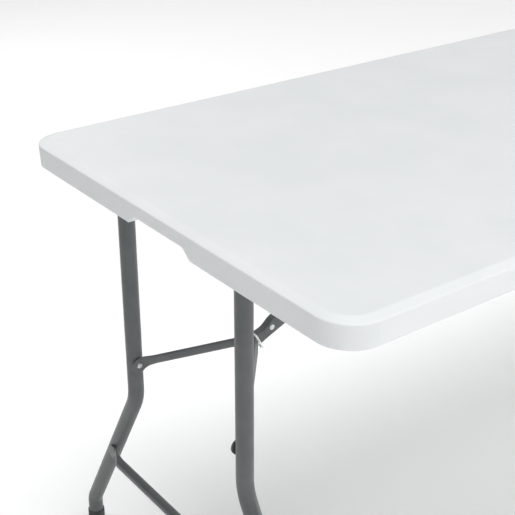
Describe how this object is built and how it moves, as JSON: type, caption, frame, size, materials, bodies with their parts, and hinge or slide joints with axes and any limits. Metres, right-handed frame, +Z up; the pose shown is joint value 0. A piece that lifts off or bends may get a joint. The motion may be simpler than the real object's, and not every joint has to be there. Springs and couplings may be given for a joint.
{
  "type": "folding picnic table",
  "caption": "Folding table with a one-piece double-walled moulded top, splayed tube legs that swing inwards, and a hinged brace with a sliding lock ring at each end.",
  "frame": {"origin": "on the floor, under the middle of the top", "axes": "+X along the table's length, +Y across it, +Z up"},
  "size_m": [1.8288, 0.7618, 0.737],
  "materials": {
    "moulded_top": "fine pebbled moulded polyethylene, light grey",
    "powder_coat": "satin dark grey powder coat",
    "zinc_steel": "bright zinc plate",
    "foot_plastic": "moulded dark grey plastic",
    "ring_coating": "white vinyl coating"
  },
  "bodies": {
    "top": {"table_top": "moulded_top", "left_pivot_clip_front": "zinc_steel", "left_pivot_clip_back": "zinc_steel", "left_pivot_screws": "zinc_steel", "left_anchor_bracket": "zinc_steel", "left_anchor_pin": "zinc_steel", "left_anchor_screws": "zinc_steel", "right_pivot_clip_front": "zinc_steel", "right_pivot_clip_back": "zinc_steel", "right_pivot_screws": "zinc_steel", "right_anchor_bracket": "zinc_steel", "right_anchor_pin": "zinc_steel", "right_anchor_screws": "zinc_steel"},
    "left_legs": {"left_pivot_tube": "powder_coat", "left_leg_tube_front": "powder_coat", "left_leg_tube_back": "powder_coat", "left_leg_crossbar": "powder_coat", "left_foot_cap_front": "foot_plastic", "left_foot_cap_back": "foot_plastic"},
    "left_link": {"left_link_bar": "powder_coat", "left_knee_bracket": "powder_coat", "left_knee_rivet": "zinc_steel"},
    "left_brace": {"left_brace_arm_front": "powder_coat", "left_brace_arm_back": "powder_coat", "left_arm_screws": "zinc_steel"},
    "left_ring": {"left_lock_ring": "ring_coating"},
    "right_legs": {"right_pivot_tube": "powder_coat", "right_leg_tube_front": "powder_coat", "right_leg_tube_back": "powder_coat", "right_leg_crossbar": "powder_coat", "right_foot_cap_front": "foot_plastic", "right_foot_cap_back": "foot_plastic"},
    "right_link": {"right_link_bar": "powder_coat", "right_knee_bracket": "powder_coat", "right_knee_rivet": "zinc_steel"},
    "right_brace": {"right_brace_arm_front": "powder_coat", "right_brace_arm_back": "powder_coat", "right_arm_screws": "zinc_steel"},
    "right_ring": {"right_lock_ring": "ring_coating"}
  },
  "joints": [
    {"name": "left_leg_fold", "type": "hinge", "parent": "top", "child": "left_legs", "pos_m": [-0.8775, 0, 0.7046], "axis": [0, -1, 0], "range_deg": [0, 90]},
    {"name": "left_link_swing", "type": "hinge", "parent": "top", "child": "left_link", "pos_m": [-0.33189, 0, 0.7046], "axis": [0, 1, 0], "range_deg": [0, 27]},
    {"name": "left_knee_fold", "type": "hinge", "parent": "left_link", "child": "left_brace", "pos_m": [-0.72392, 0, 0.50486], "axis": [0, -1, 0], "range_deg": [0, 180]},
    {"name": "left_ring_slide", "type": "slide", "parent": "left_link", "child": "left_ring", "axis": [0.891, 0, 0.454], "range_m": [0, 0.33]},
    {"name": "right_leg_fold", "type": "hinge", "parent": "top", "child": "right_legs", "pos_m": [0.8775, 0, 0.7046], "axis": [0, 1, 0], "range_deg": [0, 90]},
    {"name": "right_link_swing", "type": "hinge", "parent": "top", "child": "right_link", "pos_m": [0.33189, 0, 0.7046], "axis": [0, -1, 0], "range_deg": [0, 27]},
    {"name": "right_knee_fold", "type": "hinge", "parent": "right_link", "child": "right_brace", "pos_m": [0.72392, 0, 0.50486], "axis": [0, 1, 0], "range_deg": [0, 180]},
    {"name": "right_ring_slide", "type": "slide", "parent": "right_link", "child": "right_ring", "axis": [-0.891, 0, 0.454], "range_m": [0, 0.33]}
  ],
  "couplings": [
    {"joint": "left_link_swing", "follows": "left_leg_fold", "ratio": 0.3},
    {"joint": "left_knee_fold", "follows": "left_leg_fold", "ratio": 2},
    {"joint": "left_ring_slide", "follows": "left_leg_fold", "m_per_rad": 0.21},
    {"joint": "right_link_swing", "follows": "right_leg_fold", "ratio": 0.3},
    {"joint": "right_knee_fold", "follows": "right_leg_fold", "ratio": 2},
    {"joint": "right_ring_slide", "follows": "right_leg_fold", "m_per_rad": 0.21}
  ]
}
